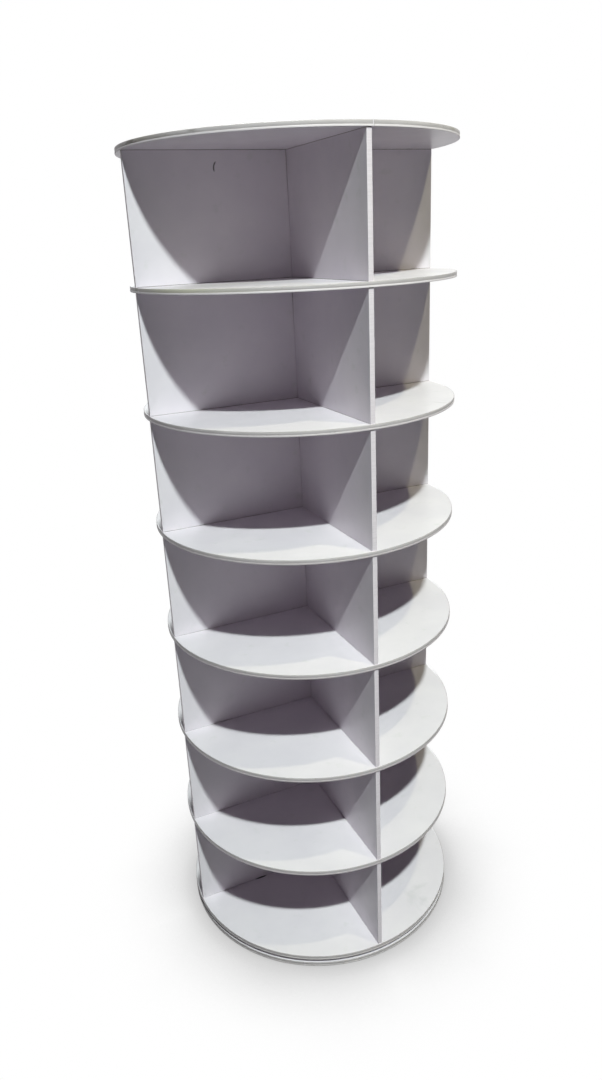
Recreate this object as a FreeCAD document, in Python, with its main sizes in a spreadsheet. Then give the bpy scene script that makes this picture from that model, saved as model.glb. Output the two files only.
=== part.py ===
"""Round revolving shoe rack: seven tiers of crossed panels between round boards, on a ball bearing.

The frame's origin is the centre of the underside that stands on the floor, with +Z up.
The wide back panels lie along X, the dividers along Y, and the open front looks along -Y.
"""
import FreeCAD, Part
import os
import Sketcher

TIERS = 7
QUARTERS = 4
SCREWS_PER_RING = 6
BALLS = 24

# Driving dimensions in millimetres: alias, value, what it measures
SIZES = (
    ("disc_radius", 300, "centre to rim of every round board, over its edge band"),
    ("board", 9, "thickness of every board, round or upright"),
    ("clear_height", 215, "open height between two round boards"),
    ("band", 1, "thickness of the edge bands"),
    ("band_arris", 0.4, "bevel on the outer corners of the edge bands"),
    ("panel_setback", 2, "rim of a round board to the end of an upright panel"),
    ("lap_clearance", 0.2, "side play of one panel in the slot of the other"),
    ("dowel_radius", 2.5, "radius of the wooden dowels"),
    ("dowel_clearance", 0.05, "radial play of a dowel in its hole"),
    ("dowel_reach", 12, "length of dowel inside a panel's end grain"),
    ("dowel_cover", 3, "board left over a blind dowel hole"),
    ("dowel_end_gap", 0.5, "room past each end of a dowel"),
    ("dowel_bevel", 0.6, "bevel on the ends of a dowel"),
    ("dowel_inner", 100, "axis of the rack to the inner dowels"),
    ("dowel_outer", 230, "axis of the rack to the outer dowels"),
    ("bearing_gap", 8, "open height between base and turntable"),
    ("ring_clearance", 1, "each bearing ring to the board that it turns over or under"),
    ("ball_circle", 130, "axis of the rack to the centres of the balls"),
    ("ball_radius", 2.5, "radius of the steel balls"),
    ("race_clearance", 0.15, "radial play of a ball in race and cage"),
    ("ring_width", 18, "width of each bearing ring"),
    ("ring_spread", 1.6, "ball circle to the near wall of each ring"),
    ("cage_thickness", 2, "wall of the ball cage"),
    ("cage_clearance", 0.5, "ball cage to the board under it and the board over it"),
    ("shank_radius", 2, "radius of a screw's shank"),
    ("head_radius", 4, "radius of a screw's countersunk head"),
    ("head_rim", 0.2, "height of the flat rim round a screw's head"),
    ("head_height", 2, "height of the head's cone"),
    ("head_sink", 0.3, "depth of a head below the face around it"),
    ("screw_cover", 2, "material left past the tip of a screw"),
    ("screw_clearance", 0.2, "play round a screw in the part that it clamps"),
    ("thread_clearance", 0.05, "play round a screw in the part that it bites"),
    ("drive_length", 3.6, "length of each arm of the cross recess"),
    ("drive_width", 0.9, "width of each arm of the cross recess"),
    ("drive_depth", 1.4, "depth of the cross recess"),
)

PLATE = "Sizes.board"
PITCH = "(Sizes.board + Sizes.clear_height)"
TURNTABLE_Z = "(Sizes.board + Sizes.bearing_gap)"
CORE_RADIUS = "(Sizes.disc_radius - Sizes.band)"
PANEL_END = "(Sizes.disc_radius - Sizes.panel_setback)"
PANEL_CORE_END = "(Sizes.disc_radius - Sizes.panel_setback - Sizes.band)"
DOWEL_HOLE = "(Sizes.dowel_radius + Sizes.dowel_clearance)"
PANEL_HOLE_DEPTH = "(Sizes.dowel_reach + Sizes.dowel_end_gap)"
BLIND_DEPTH = "(Sizes.board - Sizes.dowel_cover)"
RING_HEIGHT = "(Sizes.bearing_gap - Sizes.ring_clearance)"
BALL_HEIGHT = "(Sizes.bearing_gap / 2)"
CAGE_HEIGHT = "(Sizes.bearing_gap - 2 * Sizes.cage_clearance)"
INNER_RING_OUTER = "(Sizes.ball_circle - Sizes.ring_spread)"
INNER_RING_INNER = "(Sizes.ball_circle - Sizes.ring_spread - Sizes.ring_width)"
OUTER_RING_INNER = "(Sizes.ball_circle + Sizes.ring_spread)"
OUTER_RING_OUTER = "(Sizes.ball_circle + Sizes.ring_spread + Sizes.ring_width)"
INNER_SCREW_CIRCLE = "(Sizes.ball_circle - Sizes.ring_spread - Sizes.ring_width / 2)"
OUTER_SCREW_CIRCLE = "(Sizes.ball_circle + Sizes.ring_spread + Sizes.ring_width / 2)"
BASE_SCREW_TIP = f"(Sizes.board + {RING_HEIGHT} - Sizes.screw_cover)"
TURNTABLE_SCREW_TIP = f"({RING_HEIGHT} + Sizes.board - Sizes.screw_cover)"

doc = FreeCAD.newDocument("revolving_shoe_rack")
parts = []


def make_sheet():
    """Writes every driving dimension to the sheet, with its alias and what it measures."""
    sheet = doc.addObject("Spreadsheet::Sheet", "Sizes")
    for row, (alias, value, meaning) in enumerate(SIZES, start=1):
        sheet.set(f"A{row}", alias)
        sheet.set(f"B{row}", str(value))
        sheet.set(f"C{row}", meaning)
        sheet.setAlias(f"B{row}", alias)
    doc.recompute()


def new_body(label, height="0"):
    """Starts a sub-part whose own origin is lifted to the given height in the rack."""
    body = doc.addObject("PartDesign::Body", label)
    body.Label = label
    body.AllowCompound = True
    body.setExpression("Placement.Base.z", height)
    parts.append(body)
    return body


def datum(body, role):
    """Finds one of a body's own origin planes or axes."""
    return next(item for item in body.Origin.OriginFeatures if item.Role == role)


def new_sketch(body, name, plane="XY_Plane", lift=None):
    """Adds a sketch on an origin plane of the body, lifted along the plane's normal."""
    sketch = body.newObject("Sketcher::SketchObject", f"{body.Label}_{name}")
    sketch.AttachmentSupport = [(datum(body, plane), "")]
    sketch.MapMode = "FlatFace"
    if lift:
        sketch.setExpression("AttachmentOffset.Base.z", lift)
    return sketch


def pin_point(sketch, geometry, point, across, along):
    """Fixes one point of a sketch at a distance across and along from its origin."""
    for kind, size in (("DistanceX", across), ("DistanceY", along)):
        index = sketch.addConstraint(Sketcher.Constraint(kind, -1, 1, geometry, point, 1.0))
        sketch.setExpression(f"Constraints[{index}]", size)


def draw_outline(sketch, corners):
    """Draws a closed outline whose corners are all fixed by expressions."""
    count = len(corners)
    seeds = [FreeCAD.Vector(1, 0, 0)]
    turn = FreeCAD.Rotation(FreeCAD.Vector(0, 0, 1), 360 / count)
    for _ in range(count - 1):
        seeds.append(turn.multVec(seeds[-1]))
    lines = []
    for index, seed in enumerate(seeds):
        segment = Part.LineSegment(seed, seeds[(index + 1) % count])
        lines.append(sketch.addGeometry(segment, False))
    for index, line in enumerate(lines):
        following = lines[(index + 1) % count]
        sketch.addConstraint(Sketcher.Constraint("Coincident", line, 2, following, 1))
    for line, (across, along) in zip(lines, corners):
        pin_point(sketch, line, 1, across, along)


def draw_circle(sketch, radius, across="0", along="0"):
    """Draws a circle with its centre and radius fixed by expressions."""
    circle = sketch.addGeometry(Part.Circle(), False)
    pin_point(sketch, circle, 3, across, along)
    index = sketch.addConstraint(Sketcher.Constraint("Radius", circle, 1.0))
    sketch.setExpression(f"Constraints[{index}]", radius)


def draw_upright_axis(sketch, across):
    """Draws a construction line that stands across from the origin, to turn a profile about."""
    start = FreeCAD.Vector(1, 0, 0)
    line = sketch.addGeometry(Part.LineSegment(start, FreeCAD.Vector(1, 1, 0)), True)
    pin_point(sketch, line, 1, across, "0")
    pin_point(sketch, line, 2, across, "1")


def add_pad(body, sketch, length, midplane=False):
    """Raises a sketch to a solid of the given length."""
    pad = body.newObject("PartDesign::Pad", f"{sketch.Name}_pad")
    pad.Profile = sketch
    pad.Midplane = midplane
    pad.setExpression("Length", length)
    sketch.Visibility = False
    return pad


def add_pocket(body, sketch, depth, upwards):
    """Sinks a sketch into the solid, upwards or downwards from the sketch's plane."""
    pocket = body.newObject("PartDesign::Pocket", f"{sketch.Name}_pocket")
    pocket.Profile = sketch
    pocket.Reversed = upwards
    pocket.setExpression("Length", depth)
    return pocket


def add_turned(body, kind, sketch, axis="V_Axis"):
    """Turns a sketch a full circle about an axis, to add to the solid or to cut it."""
    feature = body.newObject(f"PartDesign::{kind}", f"{sketch.Name}_turned")
    feature.Profile = sketch
    feature.ReferenceAxis = (sketch, [axis])
    feature.Angle = 360
    return feature


def repeat_round(body, features, count):
    """Repeats features evenly round the rack's axis."""
    pattern = body.newObject("PartDesign::PolarPattern", f"{features[0].Name}_round")
    pattern.Originals = features
    pattern.Axis = (datum(body, "Z_Axis"), [""])
    pattern.Angle = 360
    pattern.Occurrences = count
    body.Tip = pattern
    return pattern


def drill_dowel_holes(body, name, lift, depth, upwards, repeats):
    """Drills the inner and outer dowel holes and repeats the pair round the axis."""
    sketch = new_sketch(body, name, lift=lift)
    for reach in ("Sizes.dowel_inner", "Sizes.dowel_outer"):
        draw_circle(sketch, DOWEL_HOLE, across=reach)
    pocket = add_pocket(body, sketch, depth, upwards)
    repeat_round(body, [pocket], repeats)


def screw_profile(across, clearance, foot, tip):
    """Half section of a countersunk screw, or with clearance of the hole that it sits in."""
    head = f"{across} + Sizes.head_radius + {clearance}"
    shank = f"{across} + Sizes.shank_radius + {clearance}"
    return (
        (across, foot),
        (head, foot),
        (head, "Sizes.head_sink + Sizes.head_rim"),
        (shank, "Sizes.head_sink + Sizes.head_rim + Sizes.head_height"),
        (shank, tip),
        (across, tip),
    )


def make_disc(label, height, drill_below, drill_above):
    """Makes a round board with dowel holes from below, from above or right through."""
    body = new_body(label, height)
    outline = new_sketch(body, "outline")
    draw_circle(outline, CORE_RADIUS)
    add_pad(body, outline, PLATE)
    if drill_below and drill_above:
        drill_dowel_holes(body, "holes", None, PLATE, True, QUARTERS)
    elif drill_below:
        drill_dowel_holes(body, "holes", None, BLIND_DEPTH, True, QUARTERS)
    elif drill_above:
        drill_dowel_holes(body, "holes", PLATE, BLIND_DEPTH, False, QUARTERS)
    return body


def make_rim_band(label, height):
    """Makes the band that closes the rim of a round board."""
    body = new_body(label, height)
    section = new_sketch(body, "section", "XZ_Plane")
    draw_outline(section, (
        (CORE_RADIUS, "0"),
        ("Sizes.disc_radius - Sizes.band_arris", "0"),
        ("Sizes.disc_radius", "Sizes.band_arris"),
        ("Sizes.disc_radius", f"{PLATE} - Sizes.band_arris"),
        ("Sizes.disc_radius - Sizes.band_arris", PLATE),
        (CORE_RADIUS, PLATE),
    ))
    add_turned(body, "Revolution", section)


def make_panel(label, height, plane, slot_from_top):
    """Makes an upright panel, slotted to half its height for the panel that crosses it."""
    body = new_body(label, height)
    slot = "(Sizes.board / 2 + Sizes.lap_clearance)"
    top = "Sizes.clear_height"
    middle = "Sizes.clear_height / 2"
    if slot_from_top:
        corners = (
            (f"-{PANEL_CORE_END}", "0"), (PANEL_CORE_END, "0"),
            (PANEL_CORE_END, top), (slot, top),
            (slot, middle), (f"-{slot}", middle),
            (f"-{slot}", top), (f"-{PANEL_CORE_END}", top),
        )
    else:
        corners = (
            (f"-{PANEL_CORE_END}", "0"), (f"-{slot}", "0"),
            (f"-{slot}", middle), (slot, middle),
            (slot, "0"), (PANEL_CORE_END, "0"),
            (PANEL_CORE_END, top), (f"-{PANEL_CORE_END}", top),
        )
    outline = new_sketch(body, "outline", plane)
    draw_outline(outline, corners)
    add_pad(body, outline, PLATE, midplane=True)
    along_x = plane == "XZ_Plane"
    for name, lift, upwards in (("foot_holes", None, True), ("head_holes", top, False)):
        sketch = new_sketch(body, name, lift=lift)
        for side in ("", "-"):
            for reach in ("Sizes.dowel_inner", "Sizes.dowel_outer"):
                place = (f"{side}{reach}", "0")
                across, along = place if along_x else place[::-1]
                draw_circle(sketch, DOWEL_HOLE, across, along)
        add_pocket(body, sketch, PANEL_HOLE_DEPTH, upwards)


def make_end_bands(label, height):
    """Makes the four bands that close the outer ends of one tier's crossed panels."""
    body = new_body(label, height)
    half = "Sizes.board / 2"
    section = new_sketch(body, "section")
    draw_outline(section, (
        (PANEL_CORE_END, f"-{half}"),
        (f"{PANEL_END} - Sizes.band_arris", f"-{half}"),
        (PANEL_END, f"-{half} + Sizes.band_arris"),
        (PANEL_END, f"{half} - Sizes.band_arris"),
        (f"{PANEL_END} - Sizes.band_arris", half),
        (PANEL_CORE_END, half),
    ))
    pad = add_pad(body, section, "Sizes.clear_height")
    repeat_round(body, [pad], QUARTERS)


def make_dowels(label, height, foot, top):
    """Makes the dowels that join one round board to the panels under and over it."""
    body = new_body(label, height)
    turned = []
    for name, reach in (("inner", "Sizes.dowel_inner"), ("outer", "Sizes.dowel_outer")):
        sketch = new_sketch(body, name, "XZ_Plane")
        wall = f"{reach} + Sizes.dowel_radius"
        draw_outline(sketch, (
            (reach, foot),
            (f"{wall} - Sizes.dowel_bevel", foot),
            (wall, f"{foot} + Sizes.dowel_bevel"),
            (wall, f"{top} - Sizes.dowel_bevel"),
            (f"{wall} - Sizes.dowel_bevel", top),
            (reach, top),
        ))
        draw_upright_axis(sketch, reach)
        turned.append(add_turned(body, "Revolution", sketch, "Axis0"))
    repeat_round(body, turned, QUARTERS)


def make_screws(label, height, circle, tip):
    """Makes a ring of countersunk screws with cross recesses, heads down."""
    body = new_body(label, height)
    sketch = new_sketch(body, "section", "XZ_Plane")
    draw_outline(sketch, screw_profile(circle, "0", "Sizes.head_sink", tip))
    draw_upright_axis(sketch, circle)
    features = [add_turned(body, "Revolution", sketch, "Axis0")]
    arms = (
        ("arm_out", "Sizes.drive_length", "Sizes.drive_width"),
        ("arm_round", "Sizes.drive_width", "Sizes.drive_length"),
    )
    for name, out, around in arms:
        recess = new_sketch(body, name, lift="Sizes.head_sink")
        draw_outline(recess, (
            (f"{circle} - {out} / 2", f"-{around} / 2"),
            (f"{circle} + {out} / 2", f"-{around} / 2"),
            (f"{circle} + {out} / 2", f"{around} / 2"),
            (f"{circle} - {out} / 2", f"{around} / 2"),
        ))
        features.append(add_pocket(body, recess, "Sizes.drive_depth", True))
    repeat_round(body, features, SCREWS_PER_RING)


def sink_screw_holes(body, circle, depth):
    """Cuts a ring of countersunk holes, mouths down, right through a board or ring."""
    sketch = new_sketch(body, "screw_holes", "XZ_Plane")
    draw_outline(sketch, screw_profile(circle, "Sizes.screw_clearance", "0", depth))
    draw_upright_axis(sketch, circle)
    cut = add_turned(body, "Groove", sketch, "Axis0")
    repeat_round(body, [cut], SCREWS_PER_RING)


def drill_pilot_holes(body, circle, depth):
    """Drills a ring of holes upwards, for the bite of the screws."""
    sketch = new_sketch(body, "pilot_holes")
    draw_circle(sketch, "Sizes.shank_radius + Sizes.thread_clearance", across=circle)
    pocket = add_pocket(body, sketch, depth, True)
    repeat_round(body, [pocket], SCREWS_PER_RING)


def make_bearing_ring(label, height, inner, outer, race_height):
    """Makes one bearing ring, with the race for the balls cut along its wall."""
    body = new_body(label, height)
    outline = new_sketch(body, "outline")
    draw_circle(outline, inner)
    draw_circle(outline, outer)
    add_pad(body, outline, RING_HEIGHT)
    race = body.newObject("PartDesign::SubtractiveTorus", f"{label}_race")
    race.setExpression("Radius1", "Sizes.ball_circle")
    race.setExpression("Radius2", "Sizes.ball_radius + Sizes.race_clearance")
    race.AttachmentSupport = [(datum(body, "XY_Plane"), "")]
    race.MapMode = "FlatFace"
    race.setExpression("AttachmentOffset.Base.z", race_height)
    return body


def make_bearing():
    """Makes the two bearing rings, the balls between them and the cage that spaces the balls."""
    lower = make_bearing_ring("lower_bearing_ring", PLATE, INNER_RING_INNER, INNER_RING_OUTER, BALL_HEIGHT)
    drill_pilot_holes(lower, INNER_SCREW_CIRCLE, RING_HEIGHT)
    upper_foot = f"{PLATE} + Sizes.ring_clearance"
    upper = make_bearing_ring("upper_bearing_ring", upper_foot, OUTER_RING_INNER, OUTER_RING_OUTER,
                              f"{BALL_HEIGHT} - Sizes.ring_clearance")
    sink_screw_holes(upper, OUTER_SCREW_CIRCLE, RING_HEIGHT)

    ball_level = f"{PLATE} + {BALL_HEIGHT}"
    balls = new_body("bearing_balls", ball_level)
    ball = balls.newObject("PartDesign::AdditiveSphere", "ball")
    ball.setExpression("Radius", "Sizes.ball_radius")
    ball.AttachmentSupport = [(datum(balls, "XY_Plane"), "")]
    ball.MapMode = "FlatFace"
    ball.setExpression("AttachmentOffset.Base.x", "Sizes.ball_circle")
    repeat_round(balls, [ball], BALLS)

    cage = new_body("ball_cage", ball_level)
    wall = new_sketch(cage, "wall", lift=f"-{CAGE_HEIGHT} / 2")
    draw_circle(wall, "Sizes.ball_circle - Sizes.cage_thickness / 2")
    draw_circle(wall, "Sizes.ball_circle + Sizes.cage_thickness / 2")
    add_pad(cage, wall, CAGE_HEIGHT)
    window = new_sketch(cage, "window", "YZ_Plane", "Sizes.ball_circle - Sizes.cage_thickness")
    draw_circle(window, "Sizes.ball_radius + Sizes.race_clearance")
    cut = add_pocket(cage, window, "2 * Sizes.cage_thickness", True)
    repeat_round(cage, [cut], BALLS)


def make_base():
    """Makes the board that stands on the floor, its band and the screws up into the bearing."""
    base = make_disc("base_disc", "0", False, False)
    sink_screw_holes(base, INNER_SCREW_CIRCLE, PLATE)
    make_rim_band("base_edge_band", "0")
    make_screws("base_screws", "0", INNER_SCREW_CIRCLE, BASE_SCREW_TIP)


def make_turntable():
    """Makes the board that turns on the bearing, its band and the screws that hold the ring."""
    turntable = make_disc("turntable_disc", TURNTABLE_Z, False, True)
    bite = f"{TURNTABLE_SCREW_TIP} - {RING_HEIGHT} + Sizes.dowel_end_gap"
    drill_pilot_holes(turntable, OUTER_SCREW_CIRCLE, bite)
    make_rim_band("turntable_edge_band", TURNTABLE_Z)
    make_screws("turntable_screws", f"{PLATE} + Sizes.ring_clearance", OUTER_SCREW_CIRCLE, TURNTABLE_SCREW_TIP)
    blind_foot = "Sizes.dowel_cover + Sizes.dowel_end_gap"
    make_dowels("turntable_dowels", TURNTABLE_Z, blind_foot, f"{PLATE} + Sizes.dowel_reach")


def make_tier(tier):
    """Makes one tier's crossed panels with their bands, and the round board that closes it."""
    floor = f"{TURNTABLE_Z} + {PLATE} + {tier - 1} * {PITCH}"
    make_panel(f"back_panel_{tier}", floor, "XZ_Plane", slot_from_top=True)
    make_panel(f"divider_panel_{tier}", floor, "YZ_Plane", slot_from_top=False)
    make_end_bands(f"panel_end_bands_{tier}", floor)
    lid = f"{TURNTABLE_Z} + {tier} * {PITCH}"
    if tier == TIERS:
        make_disc("top_disc", lid, True, False)
        make_rim_band("top_edge_band", lid)
        make_dowels("top_dowels", lid, "-Sizes.dowel_reach", f"{BLIND_DEPTH} - Sizes.dowel_end_gap")
        return
    make_disc(f"shelf_disc_{tier}", lid, True, True)
    make_rim_band(f"shelf_edge_band_{tier}", lid)
    make_dowels(f"shelf_dowels_{tier}", lid, "-Sizes.dowel_reach", f"{PLATE} + Sizes.dowel_reach")


def check_and_write():
    """Checks every object and every sub-part's shape, then writes one file for each sub-part."""
    doc.recompute()
    for item in doc.Objects:
        if "Invalid" in item.State or "Error" in item.State:
            raise RuntimeError(f"{item.Label} failed: {item.State}")
    for body in parts:
        if body.Shape.isNull() or not body.Shape.isValid():
            raise RuntimeError(f"{body.Label} has no valid shape")
    os.makedirs("parts", exist_ok=True)
    for body in parts:
        body.Shape.exportStep(f"parts/{body.Label}.step")
        box = body.Shape.BoundBox
        print(f"{body.Label}: {len(body.Shape.Solids)} solids, {body.Shape.Volume / 1000:.2f} cm3, "
              f"z {box.ZMin:.1f} to {box.ZMax:.1f}")


make_sheet()
make_base()
make_bearing()
make_turntable()
for number in range(1, TIERS + 1):
    make_tier(number)
check_and_write()
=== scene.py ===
"""Looks, light and camera of a revolving shoe rack of white faced board.

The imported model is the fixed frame, in metres, with +Z up and the back panels along X. The boards and the
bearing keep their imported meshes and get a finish. Edge bands, upright panels, screws and dowels are modelled
here.
"""

import logging
import math
from contextlib import contextmanager
from dataclasses import dataclass, field
from enum import Enum
from typing import Callable, Iterator, Sequence

import bmesh
import bpy
from mathutils import Matrix, Vector


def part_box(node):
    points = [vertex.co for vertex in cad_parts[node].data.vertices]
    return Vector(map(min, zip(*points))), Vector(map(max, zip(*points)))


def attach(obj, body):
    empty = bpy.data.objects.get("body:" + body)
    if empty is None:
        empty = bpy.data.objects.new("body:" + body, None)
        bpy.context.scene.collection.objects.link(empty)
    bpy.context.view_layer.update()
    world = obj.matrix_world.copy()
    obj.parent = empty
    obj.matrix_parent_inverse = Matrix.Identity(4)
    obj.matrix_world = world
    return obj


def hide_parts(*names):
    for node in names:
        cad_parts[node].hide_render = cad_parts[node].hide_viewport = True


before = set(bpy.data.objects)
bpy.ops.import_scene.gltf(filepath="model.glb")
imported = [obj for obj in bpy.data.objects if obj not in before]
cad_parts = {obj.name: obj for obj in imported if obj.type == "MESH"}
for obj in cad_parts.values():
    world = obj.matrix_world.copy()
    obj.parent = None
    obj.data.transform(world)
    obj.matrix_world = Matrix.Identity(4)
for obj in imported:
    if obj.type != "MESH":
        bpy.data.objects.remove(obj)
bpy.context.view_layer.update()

log = logging.getLogger("rack")

MM = 0.001
# Points nearer than WELD are merged, and places nearer than TOUCH count as the same.
WELD = 0.02 * MM
TOUCH = 0.1 * MM
# Cosines of the angle between two directions: an edge along an axis has more than ALONG, one across it less
# than ACROSS, and the normal of a face that is square to it more than SQUARE.
ALONG = 0.9
ACROSS = 0.1
SQUARE = 0.99
# How much finer noise lies over a pattern that needs no special amount.
DETAIL = 3.0

Colour = tuple[float, float, float, float]
Point = tuple[float, float, float]
Pair = tuple[float, float]
Piece = bpy.types.Object
Material = bpy.types.Material
Tree = bpy.types.NodeTree
Socket = bpy.types.NodeSocket


class Body(Enum):
    """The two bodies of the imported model."""

    BASE = "base"
    TOWER = "tower"


class Run(Enum):
    """The way an upright panel runs: the back panels along X, the dividers along Y."""

    ALONG_X = "x"
    ALONG_Y = "y"

    def point(self, along: float, across: float, height: float) -> Vector:
        """Turns a place on a panel into a point of the frame.

        Args:
            along: distance from the rack's axis along the panel.
            across: distance from the panel's middle plane.
            height: height over the floor.

        Returns:
            The point in the row frame.
        """
        if self is Run.ALONG_X:
            return Vector((along, across, height))
        return Vector((-across, along, height))


class Cut(Enum):
    """Where a panel's half-lap slot opens."""

    FROM_TOP = "top"
    FROM_BELOW = "below"


class Pick(Enum):
    """What is selected in edit mode."""

    FACES = "FACE"
    EDGES = "EDGE"


# Modelling by operator


def clear_selection() -> None:
    """Leaves edit mode and deselects every object."""
    if bpy.context.object and bpy.context.object.mode != "OBJECT":
        bpy.ops.object.mode_set(mode="OBJECT")
    bpy.ops.object.select_all(action="DESELECT")


def select_only(piece: Piece) -> None:
    """Selects one piece alone and makes it active.

    Args:
        piece: the piece.
    """
    clear_selection()
    piece.select_set(True)
    bpy.context.view_layer.objects.active = piece


@contextmanager
def editing(piece: Piece) -> Iterator[Piece]:
    """Puts one piece alone in edit mode for the length of a with block.

    Args:
        piece: the mesh object to edit.

    Returns:
        The piece, in edit mode.
    """
    select_only(piece)
    bpy.ops.object.mode_set(mode="EDIT")
    yield piece
    bpy.ops.object.mode_set(mode="OBJECT")


def pick(piece: Piece, kind: Pick, test: Callable[[Vector, Vector], bool]) -> int:
    """Selects, in edit mode, the faces or edges that pass a test, and nothing else.

    Args:
        piece: the piece in edit mode.
        kind: faces or edges.
        test: takes a face's middle and normal, or an edge's middle and direction, and says if it is wanted.

    Returns:
        How many were selected.
    """
    bpy.ops.mesh.select_mode(type=kind.value)
    bpy.ops.mesh.select_all(action="DESELECT")
    mesh = bmesh.from_edit_mesh(piece.data)
    count = 0
    for part in mesh.faces if kind is Pick.FACES else mesh.edges:
        if kind is Pick.FACES:
            middle, direction = part.calc_center_median(), part.normal
        else:
            first, second = (vertex.co for vertex in part.verts)
            middle, direction = (first + second) / 2, (second - first).normalized()
        if test(middle, direction):
            part.select_set(True)
            count += 1
    mesh.select_flush_mode()
    bmesh.update_edit_mesh(piece.data)
    return count


def start_piece(name: str, place: Vector) -> Piece:
    """Adds a small plane at a place, as the start of a drawn outline.

    Args:
        name: name of the piece.
        place: first point of the outline.

    Returns:
        The new object.
    """
    clear_selection()
    bpy.ops.mesh.primitive_plane_add(size=MM, location=place)
    piece = bpy.context.object
    piece.name = piece.data.name = name
    bpy.ops.object.transform_apply(location=True, rotation=True, scale=True)
    return piece


def draw_outline(name: str, points: Sequence[Vector]) -> Piece:
    """Draws a closed flat outline by extruding a vertex from point to point, and fills it.

    Args:
        name: name of the piece.
        points: corners of the outline, in order.

    Returns:
        The piece with one face.
    """
    piece = start_piece(name, points[0])
    with editing(piece):
        bpy.ops.mesh.select_mode(type="VERT")
        bpy.ops.mesh.select_all(action="SELECT")
        bpy.ops.mesh.merge(type="CENTER")
        for here, there in zip(points, [*points[1:], points[0]]):
            bpy.ops.mesh.extrude_vertices_move(TRANSFORM_OT_translate={"value": there - here})
        bpy.ops.mesh.select_all(action="SELECT")
        bpy.ops.mesh.remove_doubles(threshold=WELD)
        bpy.ops.mesh.edge_face_add()
    return piece


def thicken(piece: Piece, move: Vector) -> None:
    """Extrudes a piece's one face into a solid.

    Args:
        piece: the piece.
        move: direction and length of the extrusion.
    """
    with editing(piece):
        bpy.ops.mesh.select_all(action="SELECT")
        bpy.ops.mesh.extrude_region_move(TRANSFORM_OT_translate={"value": move})
        bpy.ops.mesh.select_all(action="SELECT")
        bpy.ops.mesh.normals_make_consistent(inside=False)


def turn_outline(piece: Piece, centre: Vector, angle: float, steps: int) -> None:
    """Spins a piece's one face round an upright axis into a solid.

    Args:
        piece: the piece.
        centre: a point of the axis.
        angle: angle of the spin in radians; a full turn is closed.
        steps: how many steps the spin has.
    """
    with editing(piece):
        bpy.ops.mesh.select_all(action="SELECT")
        bpy.ops.mesh.spin(steps=steps, angle=angle, center=centre, axis=(0, 0, 1))
        bpy.ops.mesh.select_all(action="SELECT")
        bpy.ops.mesh.remove_doubles(threshold=WELD)
        if angle >= math.tau:
            bpy.ops.mesh.select_all(action="DESELECT")
            bpy.ops.mesh.select_interior_faces()
            bpy.ops.mesh.delete(type="FACE")
        bpy.ops.mesh.select_all(action="SELECT")
        bpy.ops.mesh.normals_make_consistent(inside=False)


def bevel_edges(piece: Piece, width: float, segments: int, test: Callable) -> None:
    """Rounds the edges that pass a test.

    Args:
        piece: the piece.
        width: width of the rounding.
        segments: how many faces the rounding has across.
        test: as for pick.
    """
    with editing(piece):
        if pick(piece, Pick.EDGES, test):
            bpy.ops.mesh.bevel(offset=width, segments=segments, affect="EDGES")


def smooth(piece: Piece, degrees: float) -> None:
    """Shades a piece smooth, apart from edges sharper than an angle."""
    select_only(piece)
    bpy.ops.object.shade_smooth_by_angle(angle=math.radians(degrees))


def copy_piece(piece: Piece, move: Matrix) -> Piece:
    """Copies a piece with its own mesh and puts the copy's place into that mesh.

    Args:
        piece: the piece to copy.
        move: where the copy goes, as a matrix.

    Returns:
        The copy, with its object at the origin.
    """
    double = piece.copy()
    double.data = piece.data.copy()
    bpy.context.collection.objects.link(double)
    double.data.transform(move)
    return double


def join_pieces(name: str, parts: Sequence[Piece]) -> Piece:
    """Joins several objects into one piece.

    Args:
        name: name of the joined piece.
        parts: the objects, of which the first takes in the others.

    Returns:
        The joined piece.
    """
    clear_selection()
    for part in parts:
        part.select_set(True)
    bpy.context.view_layer.objects.active = parts[0]
    if len(parts) > 1:
        bpy.ops.object.join()
    parts[0].name = parts[0].data.name = name
    return parts[0]


def give_finishes(piece: Piece, materials: Sequence[Material]) -> None:
    """Gives a piece its materials, in the order of their numbers on its faces."""
    for material in materials:
        piece.data.materials.append(material)


def arc(centre: Pair, radius: float, start: float, end: float, steps: int) -> list[Pair]:
    """Gives the points of an arc, for a turned or extruded profile.

    Args:
        centre: middle of the arc.
        radius: its radius.
        start: first angle in degrees.
        end: last angle in degrees.
        steps: how many runs the arc has.

    Returns:
        The points, both ends included.
    """
    angles = (math.radians(start + (end - start) * i / steps) for i in range(steps + 1))
    return [(centre[0] + radius * math.cos(a), centre[1] + radius * math.sin(a)) for a in angles]


# Finishes


def srgb(code: str) -> Colour:
    """Turns an sRGB hex value into a linear colour.

    Args:
        code: a value such as "#E4E2E8".

    Returns:
        Red, green, blue and alpha, linear.
    """
    parts = [int(code[i : i + 2], 16) / 255 for i in (1, 3, 5)]
    linear = [c / 12.92 if c <= 0.04045 else ((c + 0.055) / 1.055) ** 2.4 for c in parts]
    return (*linear, 1.0)


def add_node(
    tree: Tree, kind: str, inputs: dict | None = None, output: int | str = 0, **settings
) -> Socket | None:
    """Adds a shader node with its settings, input values and links.

    Args:
        tree: the node tree.
        kind: the node's type without its ShaderNode prefix.
        inputs: input name or number to its value, or to the output socket that feeds it.
        output: name or number of the output that is wanted.
        settings: the node's own properties.

    Returns:
        The socket of that output, or None where the node has no outputs.
    """
    node = tree.nodes.new("ShaderNode" + kind)
    for name, value in settings.items():
        setattr(node, name, value)
    for name, value in (inputs or {}).items():
        if isinstance(value, bpy.types.NodeSocket):
            tree.links.new(value, node.inputs[name])
        else:
            node.inputs[name].default_value = value
    return node.outputs[output] if node.outputs else None


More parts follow.
